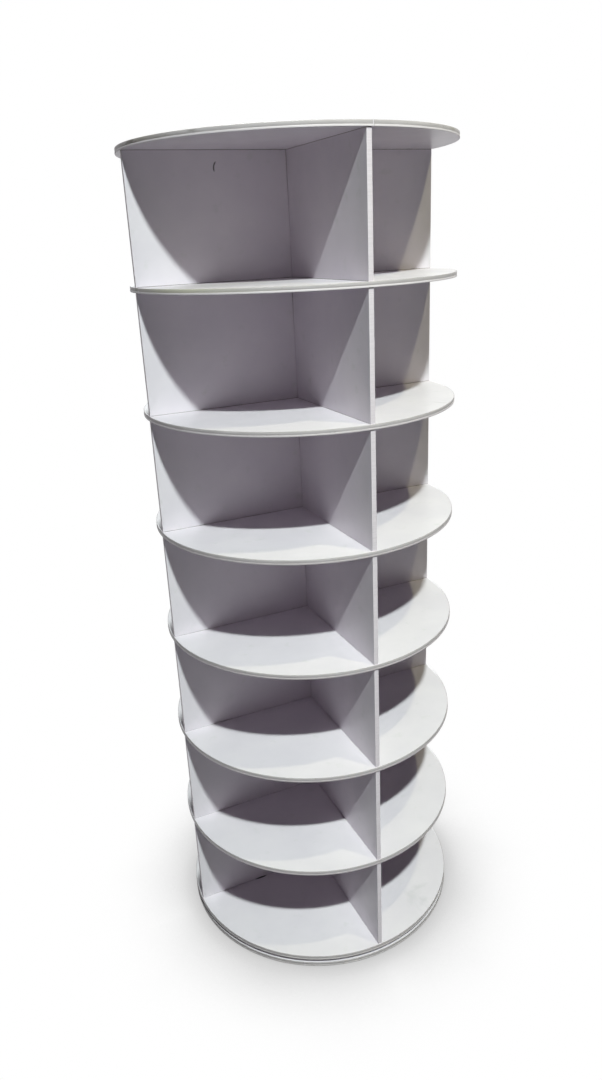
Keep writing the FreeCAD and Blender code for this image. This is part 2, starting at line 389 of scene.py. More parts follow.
def new_finish(name: str) -> tuple[Material, Tree, Socket]:
    """Starts a material with nothing in it but its own coordinates.

    Args:
        name: name of the finish.

    Returns:
        The material, its node tree and the Object coordinates.
    """
    material = bpy.data.materials.new(name)
    material.use_nodes = True
    material.node_tree.nodes.clear()
    return material, material.node_tree, add_node(material.node_tree, "TexCoord", output="Object")


def close_finish(tree: Tree, inputs: dict) -> None:
    """Adds the surface's shader and leads it to the material's output.

    Args:
        tree: the node tree.
        inputs: the shader's inputs, as for add_node.
    """
    add_node(tree, "OutputMaterial", {"Surface": add_node(tree, "BsdfPrincipled", inputs)})


def between(span: Pair, ends: Pair = (0.0, 1.0)) -> dict:
    """Gives the limits of a Map Range node: the span that it reads, and what the span's ends become."""
    return {"From Min": span[0], "From Max": span[1], "To Min": ends[0], "To Max": ends[1]}


def go_over(
    tree: Tree, pattern: Socket, span: Pair, under: str | Socket, over: str, cover: Pair = (0.0, 1.0)
) -> Socket:
    """Goes from one colour over to another as a pattern rises.

    Args:
        tree: the node tree.
        pattern: the pattern's value.
        span: the values at which the change starts and ends.
        under: the first colour, as a hex value or a socket.
        over: the second colour, as a hex value.
        cover: how far the second colour covers the first where the change starts and where it ends.

    Returns:
        The mixed colour.
    """
    factor = add_node(tree, "MapRange", {"Value": pattern, **between(span, cover)})
    first = srgb(under) if isinstance(under, str) else under
    return add_node(tree, "Mix", {0: factor, 6: first, 7: srgb(over)}, 2, data_type="RGBA")


@dataclass(frozen=True)
class Mark:
    """A worn or soiled place on a face, or a patch of painted shade: an ellipsoid with a soft, uneven edge.

    Fields are its middle and half sizes in metres, its colour, how far it covers the face, how uneven its
    outline is, and the share of its reach over which it fades out.
    """

    middle: Point
    reach: Point
    colour: str
    cover: float
    unevenness: float = 0.35
    softness: float = 0.45
    bulge: float = 0.9
    bulge_span: Pair = (0.3, 0.7)

    def lay(self, tree: Tree, place: Socket, under: Socket) -> Socket:
        """Lays the mark over a colour.

        Args:
            tree: the node tree.
            place: the Object coordinates.
            under: the colour so far.

        Returns:
            The colour with the mark on it.
        """
        moved = add_node(tree, "VectorMath", {0: place, 1: self.middle}, operation="SUBTRACT")
        scaled = add_node(tree, "VectorMath", {0: moved, 1: self.reach}, operation="DIVIDE")
        distance = add_node(tree, "VectorMath", {0: scaled}, "Value", operation="LENGTH")
        bulges = add_node(tree, "TexNoise", {"Vector": scaled, "Scale": 1 / self.bulge, "Detail": DETAIL})
        uneven = between(self.bulge_span, (-self.unevenness, self.unevenness))
        ragged = add_node(tree, "MapRange", {"Value": bulges, **uneven})
        total = add_node(tree, "Math", {0: distance, 1: ragged}, operation="ADD")
        return go_over(tree, total, (1.0 - self.softness, 1.0), under, self.colour, (self.cover, 0.0))


@dataclass(frozen=True)
class Scratch:
    """A hair-thin curved scratch on a face: part of a ring, cut off by a ball round its middle.

    The last two fields are the shares of the width and of the half length at which it starts to fade.
    """

    ring_middle: Point
    ring_radius: float
    middle: Point
    half_length: float
    width: float
    colour: str
    cover: float
    full_width: float = 0.3
    full_length: float = 0.6

    def lay(self, tree: Tree, place: Socket, under: Socket) -> Socket:
        """Lays the scratch over a colour.

        Args:
            tree: the node tree.
            place: the Object coordinates.
            under: the colour so far.

        Returns:
            The colour with the scratch on it.
        """
        to_ring = add_node(tree, "VectorMath", {0: place, 1: self.ring_middle}, "Value", operation="DISTANCE")
        off = add_node(tree, "Math", {0: to_ring, 1: self.ring_radius}, operation="SUBTRACT")
        away = add_node(tree, "Math", {0: off}, operation="ABSOLUTE")
        across = between((self.full_width * self.width, self.width), (self.cover, 0.0))
        line = add_node(tree, "MapRange", {"Value": away, **across})
        to_middle = add_node(tree, "VectorMath", {0: place, 1: self.middle}, "Value", operation="DISTANCE")
        along = between((self.full_length * self.half_length, self.half_length), (1.0, 0.0))
        stretch = add_node(tree, "MapRange", {"Value": to_middle, **along})
        both = add_node(tree, "Math", {0: line, 1: stretch}, operation="MULTIPLY")
        return add_node(tree, "Mix", {0: both, 6: under, 7: srgb(self.colour)}, 2, data_type="RGBA")


@dataclass(frozen=True)
class MelamineFace:
    """Melamine-faced fibreboard, pressed against a fine pearl plate: a satin white with a faint cloudy tone.

    The real pearl grain is about 0.3 mm, too fine to show in the render, and is drawn at 1.5 mm.
    """

    name: str = "melamine_faced_board"
    face: str = "#DCD3DC"
    cloud: str = "#D6CDD7"
    cloud_size: float = 90 * MM
    cloud_span: Pair = (0.35, 0.65)
    smear: str = "#C6C3C4"
    smear_size: float = 26 * MM
    smear_span: Pair = (0.62, 0.8)
    smear_share: float = 0.5
    grain_size: float = 1.5 * MM
    grain_depth: float = 0.03 * MM
    grain_strength: float = 0.6
    roughness: Pair = (0.34, 0.40)
    marks: tuple[Mark | Scratch, ...] = ()

    def make(self) -> Material:
        """Builds the material.

        Returns:
            The material.
        """
        material, tree, place = new_finish(self.name)
        clouds = add_node(tree, "TexNoise", {"Vector": place, "Scale": 1 / self.cloud_size, "Detail": DETAIL})
        colour = go_over(tree, clouds, self.cloud_span, self.face, self.cloud)
        smears = add_node(tree, "TexNoise", {"Vector": place, "Scale": 1 / self.smear_size, "Detail": 6.0})
        colour = go_over(tree, smears, self.smear_span, colour, self.smear, (0.0, self.smear_share))
        for mark in self.marks:
            colour = mark.lay(tree, place, colour)
        gloss = add_node(tree, "MapRange", {"Value": clouds, **between(self.cloud_span, self.roughness)})
        grain = add_node(tree, "TexNoise", {"Vector": place, "Scale": 1 / self.grain_size, "Detail": 2.0})
        pearl = {"Height": grain, "Distance": self.grain_depth, "Strength": self.grain_strength}
        normal = add_node(tree, "Bump", pearl)
        close_finish(tree, {"Base Color": colour, "Roughness": gloss, "Normal": normal, "IOR": 1.5})
        return material


@dataclass(frozen=True)
class RawCore:
    """Sawn medium-density fibreboard, as it shows in slots and on unbanded edges: matt, brown and fuzzy."""

    name: str = "sawn_fibreboard_core"
    light: str = "#8F8174"
    dark: str = "#6A5F58"
    fibre_size: float = 1.2 * MM
    fibre_span: Pair = (0.35, 0.65)
    fibre_depth: float = 0.15 * MM

    def make(self) -> Material:
        """Builds the material.

        Returns:
            The material.
        """
        material, tree, place = new_finish(self.name)
        fibres = add_node(tree, "TexNoise", {"Vector": place, "Scale": 1 / self.fibre_size, "Detail": 5.0})
        colour = go_over(tree, fibres, self.fibre_span, self.light, self.dark)
        normal = add_node(tree, "Bump", {"Height": fibres, "Distance": self.fibre_depth})
        close_finish(tree, {"Base Color": colour, "Normal": normal, "Roughness": 0.9})
        return material


@dataclass(frozen=True)
class ExtrudedBand:
    """Extruded PVC edge band, glued on and scraped: satin, with fine die lines along its length.

    Die lines are some tenths of a millimetre apart. They are drawn 0.8 mm apart, to show in a close view.
    A band given a darker low tone has it up to one height and fades out by a higher one: painted shade, darker
    towards the bottom of the rack.
    """

    name: str
    light: str
    dark: str
    streak_length: float = 40 * MM
    streak_span: Pair = (0.3, 0.7)
    line_spacing: float = 0.8 * MM
    line_depth: float = 0.02 * MM
    soil: str = "#8A837C"
    soil_size: float = 7 * MM
    soil_span: Pair = (0.64, 0.74)
    soil_share: float = 0.0
    # Painted shade: a darker tone towards the bottom of the rack, and the heights over which it fades out.
    low_shade: str = ""
    low_shade_top: float = 0.95
    low_shade_end: float = 1.36
    roughness: float = 0.45
    marks: tuple[Mark, ...] = ()

    def make(self) -> Material:
        """Builds the material.

        Returns:
            The material.
        """
        material, tree, place = new_finish(self.name)
        stretch = (1 / self.streak_length, 1 / self.streak_length, 1 / (2 * self.line_spacing))
        along = add_node(tree, "Mapping", {"Vector": place, "Scale": stretch})
        streaks = add_node(tree, "TexNoise", {"Vector": along, "Scale": 1.0, "Detail": 4.0})
        colour = go_over(tree, streaks, self.streak_span, self.light, self.dark)
        # Painted shade, darker towards the bottom of the rack.
        if self.low_shade:
            height = add_node(tree, "SeparateXYZ", {0: place}, "Z")
            fade = (self.low_shade_top, self.low_shade_end)
            colour = go_over(tree, height, fade, colour, self.low_shade, (1.0, 0.0))
        specks = add_node(tree, "TexNoise", {"Vector": place, "Scale": 1 / self.soil_size, "Detail": 6.0})
        colour = go_over(tree, specks, self.soil_span, colour, self.soil, (0.0, self.soil_share))
        for mark in self.marks:
            colour = mark.lay(tree, place, colour)
        lines = {"Vector": place, "Scale": 1 / self.line_spacing / math.pi, "Distortion": 0.6}
        wave = add_node(tree, "TexWave", lines, "Fac", wave_type="BANDS", bands_direction="Z")
        normal = add_node(tree, "Bump", {"Height": wave, "Distance": self.line_depth})
        close_finish(tree, {"Base Color": colour, "Normal": normal, "Roughness": self.roughness})
        return material


@dataclass(frozen=True)
class TurnedAluminium:
    """Pressed and turned aluminium, as in the rings of a swivel bearing: fine tool rings round the axis."""

    name: str = "turned_aluminium"
    tone: str = "#C9CBCE"
    dull: str = "#A9ABAF"
    dull_size: float = 14 * MM
    dull_span: Pair = (0.35, 0.7)
    tool_feed: float = 0.6 * MM
    tool_depth: float = 0.02 * MM

    def make(self) -> Material:
        """Builds the material.

        Returns:
            The material.
        """
        material, tree, place = new_finish(self.name)
        feed = {"Vector": place, "Scale": 1 / self.tool_feed / math.pi, "Distortion": 0.3}
        rings = add_node(tree, "TexWave", feed, "Fac", wave_type="RINGS", rings_direction="Z")
        film = add_node(tree, "TexNoise", {"Vector": place, "Scale": 1 / self.dull_size, "Detail": DETAIL})
        colour = go_over(tree, film, self.dull_span, self.tone, self.dull)
        normal = add_node(tree, "Bump", {"Height": rings, "Distance": self.tool_depth})
        close_finish(tree, {"Base Color": colour, "Normal": normal, "Metallic": 1.0, "Roughness": 0.34})
        return material


@dataclass(frozen=True)
class GroundSteel:
    """Ground and polished bearing steel under a film of grease: bright, with slightly dull patches."""

    name: str = "ground_bearing_steel"
    tone: str = "#C6C7C9"
    greased: str = "#A8A69C"
    film_size: float = 2 * MM
    film_span: Pair = (0.4, 0.65)
    roughness: Pair = (0.08, 0.22)

    def make(self) -> Material:
        """Builds the material.

        Returns:
            The material.
        """
        material, tree, place = new_finish(self.name)
        film = add_node(tree, "TexNoise", {"Vector": place, "Scale": 1 / self.film_size, "Detail": DETAIL})
        colour = go_over(tree, film, self.film_span, self.tone, self.greased)
        gloss = add_node(tree, "MapRange", {"Value": film, **between(self.film_span, self.roughness)})
        close_finish(tree, {"Base Color": colour, "Roughness": gloss, "Metallic": 1.0})
        return material


@dataclass(frozen=True)
class ZincPlate:
    """Bright zinc plating on a steel screw: bluish grey, spangled and a little dulled."""

    name: str = "bright_zinc_plate"
    tone: str = "#B9BEC4"
    dull: str = "#8E9297"
    spangle: float = 0.8 * MM
    tone_span: Pair = (0.1, 0.7)
    gloss_span: Pair = (0.0, 0.8)
    roughness: Pair = (0.25, 0.45)

    def make(self) -> Material:
        """Builds the material.

        Returns:
            The material.
        """
        material, tree, place = new_finish(self.name)
        cells = add_node(tree, "TexVoronoi", {"Vector": place, "Scale": 1 / self.spangle}, "Distance")
        colour = go_over(tree, cells, self.tone_span, self.tone, self.dull)
        gloss = add_node(tree, "MapRange", {"Value": cells, **between(self.gloss_span, self.roughness)})
        close_finish(tree, {"Base Color": colour, "Roughness": gloss, "Metallic": 1.0})
        return material


@dataclass(frozen=True)
class MouldedNylon:
    """Injection-moulded natural nylon: milky, slightly waxy, with a soft flow pattern."""

    name: str = "moulded_nylon"
    tone: str = "#D8D3C4"
    flow: str = "#C8C2B0"
    flow_size: float = 9 * MM
    flow_span: Pair = (0.35, 0.65)
    flow_depth: float = 0.05 * MM

    def make(self) -> Material:
        """Builds the material.

        Returns:
            The material.
        """
        material, tree, place = new_finish(self.name)
        swirl = add_node(tree, "TexNoise", {"Vector": place, "Scale": 1 / self.flow_size, "Detail": 4.0})
        colour = go_over(tree, swirl, self.flow_span, self.tone, self.flow)
        normal = add_node(tree, "Bump", {"Height": swirl, "Distance": self.flow_depth})
        waxy = {"Roughness": 0.45, "Subsurface Weight": 0.1, "Subsurface Scale": MM}
        close_finish(tree, {"Base Color": colour, "Normal": normal, **waxy})
        return material


@dataclass(frozen=True)
class BeechWood:
    """Planed beech of a fluted dowel: pinkish straw with short dark ray flecks along the upright grain."""

    name: str = "fluted_beech"
    tone: str = "#C9A27C"
    fleck: str = "#9C744F"
    fleck_length: float = 3 * MM
    fleck_width: float = 0.4 * MM
    fleck_span: Pair = (0.45, 0.7)
    fleck_depth: float = 0.05 * MM

    def make(self) -> Material:
        """Builds the material.

        Returns:
            The material.
        """
        material, tree, place = new_finish(self.name)
        stretch = (1 / self.fleck_width, 1 / self.fleck_width, 1 / self.fleck_length)
        along = add_node(tree, "Mapping", {"Vector": place, "Scale": stretch})
        grain = add_node(tree, "TexNoise", {"Vector": along, "Scale": 1.0, "Detail": DETAIL})
        colour = go_over(tree, grain, self.fleck_span, self.tone, self.fleck)
        normal = add_node(tree, "Bump", {"Height": grain, "Distance": self.fleck_depth})
        close_finish(tree, {"Base Color": colour, "Normal": normal, "Roughness": 0.6})
        return material


# Worn places and painted shade

# Painted shade: a near-black mark on the turntable board and the lowest back panel, near the panel's left end,
# where the gap under that panel lies in shade.
PAINTED_FOOT_GAP_SHADE = Mark((-0.1555, -0.0045, 0.0262), (0.0165, 0.0030, 0.0026), "#060405", cover=1.0, unevenness=0.1)
# A scratch at the right of the fifth shelf board.
SHELF_SCRATCH = Scratch(
    ring_middle=(0.290, -0.151, 1.146), ring_radius=0.120, middle=(0.1873, -0.213, 1.146),
    half_length=0.016, width=0.0012, colour="#83817A", cover=0.75,
)
# A hair-like hook on the uppermost back panel.
PANEL_SCRATCH = Scratch(
    ring_middle=(-0.1265, -0.0045, 1.5555), ring_radius=0.0150, middle=(-0.1412, -0.0045, 1.559),
    half_length=0.0095, width=0.0018, colour="#3B3539", cover=0.95,
)
# Faint smudges at the right of the turntable board.
TURNTABLE_SMUDGES = tuple(
    Mark(middle, reach, colour, cover=0.3, unevenness=0.6, softness=1.0)
    for middle, reach, colour in (
        ((0.127, -0.222, 0.026), (0.018, 0.034, 0.003), "#B5B2B7"),
        ((0.156, -0.202, 0.026), (0.032, 0.014, 0.003), "#B7B4B9"),
        ((0.145, -0.240, 0.026), (0.014, 0.020, 0.003), "#B2AFB4"),
    )
)
# Painted shade: a beige darkening over the front left of the uppermost shelf board's top.
TOP_SHELF_PAINTED_SHADE = Mark((-0.180, -0.110, 1.370), (0.190, 0.130, 0.010), "#B9B0A4", 0.5, 0.25, 1.0)
# Soil and dark worn spots on the rims of the top board and of the uppermost shelf board, and a lighter beige
# patch at the front left of the uppermost shelf board's rim.
RIM_MARKS = (
    Mark((-0.2870, -0.0900, 1.590), (0.060, 0.120, 0.012), "#91877B", 0.6, 0.3, 1.0),
    Mark((-0.2500, -0.1500, 1.366), (0.170, 0.160, 0.012), "#CDC6B6", 0.8, 0.3, 0.8),
    Mark((-0.2946, -0.0566, 1.590), (0.010, 0.026, 0.005), "#4A423A", 0.9, 0.35, 0.5),
    Mark((-0.2337, -0.1881, 1.591), (0.012, 0.012, 0.003), "#6B655C", 0.5, 0.35, 0.8),
    Mark((-0.3000, -0.0130, 1.366), (0.010, 0.018, 0.006), "#847F74", 0.8, 0.8),
    Mark((0.1900, -0.2320, 1.591), (0.020, 0.020, 0.003), "#98917F", 0.6, 0.35, 0.8),
)


# Sub-assemblies


@dataclass(frozen=True)
class RackSizes:
    """Sizes that the sub-assemblies share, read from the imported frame, in metres."""

    radius: float
    core_radius: float
    board: float
    tiers: int = 7

    @classmethod
    def from_frame(cls) -> "RackSizes":
        """Reads the sizes from the top board and its edge band.

        Returns:
            The sizes.
        """
        core_low, core_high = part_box("top_disc")
        band_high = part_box("top_edge_band")[1]
        return cls(radius=band_high[0], core_radius=core_high[0], board=core_high[2] - core_low[2])

    def board_names(self) -> list[str]:
        """Names the round boards from the floor up, as their nodes begin."""
        return ["base", "turntable", *(f"shelf_{i}" for i in range(1, self.tiers)), "top"]

    def node(self, board: str, part: str) -> str:
        """Gives a board's node name for a part such as "disc" or "edge_band"."""
        kind, _, number = board.partition("_")
        return "_".join(filter(None, (kind, part, number)))


@dataclass
class RoundBoards:
    """The nine round boards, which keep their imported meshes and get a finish."""

    sizes: RackSizes
    finish: MelamineFace

    def build(self) -> None:
        """Gives every round board its finish."""
        material = self.finish.make()
        for board in self.sizes.board_names():
            dress(self.sizes.node(board, "disc"), material)


def dress(node: str, material: Material) -> None:
    """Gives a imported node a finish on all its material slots.

    Args:
        node: the node's name.
        material: the finish.
    """
    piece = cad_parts[node]
    if not piece.material_slots:
        piece.data.materials.append(material)
    for slot in piece.material_slots:
        slot.material = material
    log.info("dressed %s", node)


def hand_over(piece: Piece, body: Body, slot: str, *nodes: str) -> None:
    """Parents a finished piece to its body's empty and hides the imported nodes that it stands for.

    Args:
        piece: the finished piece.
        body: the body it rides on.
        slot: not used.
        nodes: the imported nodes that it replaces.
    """
    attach(piece, body.value)
    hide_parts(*nodes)
    log.info("built %s with %d faces", piece.name, len(piece.data.polygons))


@dataclass
class RimBands:
    """The edge bands round the nine boards.

    A band has a grey face and, along its lower edge, a white lip that stands slightly proud; on the lower
    boards the lip is painted darker, as painted shade. Its rounded top edge is darker, a thin line round the
    board. Its two ends meet in a seam that is filled with white glue. A board that isn't in seam_angles has
    its seam at seam_start, plus seam_step for each letter of its name.
    """

    sizes: RackSizes
    face_finish: ExtrudedBand
    lip_finish: ExtrudedBand
    edge_finish: ExtrudedBand
    lip_height: float = 3.0 * MM
    lip_stand: float = 0.35 * MM
    groove: float = 0.5 * MM
    groove_foot: float = 0.05 * MM
    arris: float = 0.5 * MM
    arris_steps: int = 4
    seam: float = 1.2 * MM
    seam_recess: float = 0.1 * MM
    seam_round: float = 0.2 * MM
    seam_angles: dict[str, float] = field(default_factory=dict)
    seam_start: float = 90
    seam_step: float = 37
    plain_boards: tuple[str, ...] = ("base", "turntable")
    steps: int = 288
    smooth_under: float = 30

    def profile(self, foot: float) -> list[Pair]:
        """Draws a band's section as radius and height.

        Args:
            foot: height of the board's underside.

        Returns:
            The section's corners, from its inner foot outwards and up.
        """
        inner, outer, arris, steps = self.sizes.core_radius, self.sizes.radius, self.arris, self.arris_steps
        face, top, lip = outer - self.lip_stand, foot + self.sizes.board, foot + self.lip_height
        return [
            (inner, foot),
            *arc((outer - arris, foot + arris), arris, -90, 0, steps),
            *arc((outer - arris, lip - arris), arris, 0, 90, steps),
            (face - self.groove / 2, lip + self.groove_foot),
            (face, lip + self.groove),
            *arc((face - arris, top - arris), arris, 0, 90, steps),
            (inner, top),
        ]

    def build_one(self, board: str, materials: Sequence[Material]) -> None:
        """Builds the band of one board.

        Args:
            board: the board's name.
            materials: finishes of the face, of the lip and of the top edge.
        """
        node = self.sizes.node(board, "edge_band")
        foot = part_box(node)[0][2]
        angle = math.radians(self.seam_angles.get(board, self.seam_start + self.seam_step * len(board)))
        gap = self.seam / self.sizes.radius
        start = angle + gap / 2
        outward = Vector((math.cos(start), math.sin(start), 0))
        points = [outward * r + Vector((0, 0, z)) for r, z in self.profile(foot)]
        band = draw_outline(f"rim_band_{board}", points)
        turn_outline(band, Vector((0, 0, 0)), math.tau - gap, self.steps)
        filler = self.seam_filler(board, foot, angle)
        give_finishes(band, materials)
        give_finishes(filler, materials)
        of_lip, of_edge = 1, 2
        lip, top = foot + self.lip_height, foot + self.sizes.board
        for polygon in band.data.polygons:
            if polygon.center[2] < lip and board not in self.plain_boards:
                polygon.material_index = of_lip
            elif polygon.center[2] > top - self.arris / 3:
                polygon.material_index = of_edge
        for polygon in filler.data.polygons:
            polygon.material_index = of_lip
        band = join_pieces(band.name, [band, filler])
        smooth(band, self.smooth_under)
        body = Body.BASE if board == "base" else Body.TOWER
        hand_over(band, body, "edge_band", node)

    def seam_filler(self, board: str, foot: float, angle: float) -> Piece:
        """Builds the bead of glue that fills the seam.

        Args:
            board: the board's name.
            foot: height of the board's underside.
            angle: direction of the seam in radians.

        Returns:
            The bead.
        """
        inner, outer = self.sizes.core_radius, self.sizes.radius - self.seam_recess
        side = Vector((-math.sin(angle), math.cos(angle), 0))
        out = Vector((math.cos(angle), math.sin(angle), 0))
        half = self.seam / 2
        low = Vector((0, 0, foot + self.arris / 2))
        high = Vector((0, 0, foot + self.sizes.board - self.arris / 2))
        corners = [out * inner - side * half + low, out * outer - side * half + low]
        corners += [out * outer - side * half + high, out * inner - side * half + high]
        bead = draw_outline(f"seam_{board}", corners)
        thicken(bead, side * self.seam)

        def outer_arris(middle: Vector, way: Vector) -> bool:
            """Says if an edge is one of the two outer upright arrises."""
            return abs(way.z) > ALONG and middle.xy.length > outer - half

        bevel_edges(bead, self.seam_round, 2, outer_arris)
        return bead

    def build(self) -> None:
        """Builds the bands of all the boards."""
        materials = [self.face_finish.make(), self.lip_finish.make(), self.edge_finish.make()]
        for board in self.sizes.board_names():
            self.build_one(board, materials)


@dataclass
class HalvedPanels:
    """The upright panels, halved together on the rack's axis: back panels along X and dividers along Y.

    The slots are sawn, with chamfered arrises that leave a dark line in the corner.
    """

    sizes: RackSizes
    face_finish: MelamineFace
    core_finish: RawCore
    lap_play: float = 0.2 * MM
    slot_chamfer: float = 1.1 * MM
    arris: float = 0.7 * MM

    def outline(self, run: Run, cut: Cut, low: Vector, high: Vector) -> list[Vector]:
        """Draws a panel's face with its slot.

        Args:
            run: the way the panel runs.
            cut: where the slot opens.
            low: the panel's lowest corner.
            high: the panel's highest corner.

        Returns:
            The outline's corners on one face.
        """
        thickness = self.sizes.board
        reach = max(high.x, high.y)
        slot = thickness / 2 + self.lap_play
        middle = (low.z + high.z) / 2
        side = -thickness / 2
        if cut is Cut.FROM_TOP:
            dip = middle - self.lap_play / 2
            shape = [(-reach, low.z), (reach, low.z), (reach, high.z), (slot, high.z)]
            shape += [(slot, dip), (-slot, dip), (-slot, high.z), (-reach, high.z)]
        else:
            rise = middle + self.lap_play / 2
            shape = [(-reach, low.z), (-slot, low.z), (-slot, rise), (slot, rise)]
            shape += [(slot, low.z), (reach, low.z), (reach, high.z), (-reach, high.z)]
        return [run.point(along, side, height) for along, height in shape]

    def build_one(self, node: str, run: Run, cut: Cut, materials: Sequence[Material]) -> None:
        """Builds one panel.

        Args:
            node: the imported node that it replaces.
            run: the way it runs.
            cut: where its slot opens.
            materials: finishes of the faces and of the sawn core.
        """
        low, high = (Vector(corner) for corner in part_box(node))
        panel = draw_outline(f"halved_{node}", self.outline(run, cut, low, high))
        thicken(panel, run.point(0, self.sizes.board, 0))
        slot = self.sizes.board / 2 + self.lap_play
        face = self.sizes.board / 2

        def along_and_across(point: Vector) -> tuple[float, float]:
            """Gives a point's distance along the panel and from its middle plane."""
            return (point.x, point.y) if run is Run.ALONG_X else (point.y, -point.x)

        def at_slot(middle: Vector, way: Vector) -> bool:
            """Says if an edge is an upright arris of the slot."""
            along, across = along_and_across(middle)
            return abs(way.z) > ALONG and abs(abs(along) - slot) < TOUCH and abs(abs(across) - face) < TOUCH

        def at_foot(middle: Vector, way: Vector) -> bool:
            """Says if an edge runs along the panel's foot or top."""
            level = abs(way.z) < ACROSS and min(abs(middle.z - low.z), abs(middle.z - high.z)) < TOUCH
            return level and abs(abs(along_and_across(middle)[1]) - face) < TOUCH

        bevel_edges(panel, self.slot_chamfer, 1, at_slot)
        bevel_edges(panel, self.arris, 1, at_foot)
        give_finishes(panel, materials)
        across = run.point(0, 1, 0)
        of_face, of_core = 0, 1
        for polygon in panel.data.polygons:
            polygon.material_index = of_face if abs(polygon.normal.dot(across)) > SQUARE else of_core
        hand_over(panel, Body.TOWER, "white_board", node)

    def build(self) -> None:
        """Builds the panels of all the tiers."""
        materials = [self.face_finish.make(), self.core_finish.make()]
        for tier in range(1, self.sizes.tiers + 1):
            self.build_one(f"back_panel_{tier}", Run.ALONG_X, Cut.FROM_TOP, materials)
            self.build_one(f"divider_panel_{tier}", Run.ALONG_Y, Cut.FROM_BELOW, materials)


@dataclass
class PanelEndBands:
    """The bands on the upright panels' outer ends: four strips a tier, cut a little short at the top, with a
    painted highlight on their rounded arrises.
    """

    sizes: RackSizes
    face_finish: ExtrudedBand
    # The arrises' finish is lighter than the face: a painted highlight along the rounded upright edges.
    arris_highlight_finish: ExtrudedBand
    arris: float = 0.8 * MM
    arris_steps: int = 3
    top_gap: float = 1.2 * MM
    smooth_under: float = 40

    def strip(self, name: str, run: Run, side: int, band_end: float, low: float, high: float) -> Piece:
        """Builds one strip.

        Args:
            name: name of the strip.
            run: the way its panel runs.
            side: 1 or -1, the end of the panel that it covers.
            band_end: distance of its outer face from the rack's axis.
            low: height of its foot.
            high: height of its top.

        Returns:
            The strip.
        """
        half, band = self.sizes.board / 2, self.sizes.radius - self.sizes.core_radius
        start = band_end - band
        corners = [(start, -half), (band_end, -half), (band_end, half), (start, half)]
        piece = draw_outline(name, [run.point(side * along, across, low) for along, across in corners])
        thicken(piece, Vector((0, 0, high - low)))

        def outer_arris(middle: Vector, way: Vector) -> bool:
            """Says if an edge is one of the two outer upright arrises."""
            return abs(way.z) > ALONG and max(abs(middle.x), abs(middle.y)) > band_end - band / 4

        bevel_edges(piece, self.arris, self.arris_steps, outer_arris)
        return piece

    def build(self) -> None:
        """Builds the strips of all the tiers."""
        materials = [self.face_finish.make(), self.arris_highlight_finish.make()]
        for tier in range(1, self.sizes.tiers + 1):
            node = f"panel_end_bands_{tier}"
            low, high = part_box(node)
            reach, foot, top = high[0], low[2], high[2] - self.top_gap
            ends = [(run, side) for run in Run for side in (-1, 1)]
            strips = [self.strip(f"strip_{i}", *end, reach, foot, top) for i, end in enumerate(ends)]
            piece = join_pieces(f"end_strips_{tier}", strips)
            give_finishes(piece, materials)
            # The outer arrises get the lighter finish, a painted highlight.
            of_face, of_highlight_arris = 0, 1
            for polygon in piece.data.polygons:
                square = max(abs(polygon.normal.x), abs(polygon.normal.y)) > SQUARE
                polygon.material_index = of_face if square else of_highlight_arris
            smooth(piece, self.smooth_under)
            hand_over(piece, Body.TOWER, "edge_band", node)


@dataclass
class BearingParts:
    """The rings, balls and cage of the bearing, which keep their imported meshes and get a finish."""

    ring_finish: TurnedAluminium
    ball_finish: GroundSteel
    cage_finish: MouldedNylon

    def build(self) -> None:
        """Gives the bearing's parts their finishes."""
        ring = self.ring_finish.make()
        dress("lower_bearing_ring", ring)
        dress("upper_bearing_ring", ring)
        dress("bearing_balls", self.ball_finish.make())
        dress("ball_cage", self.cage_finish.make())


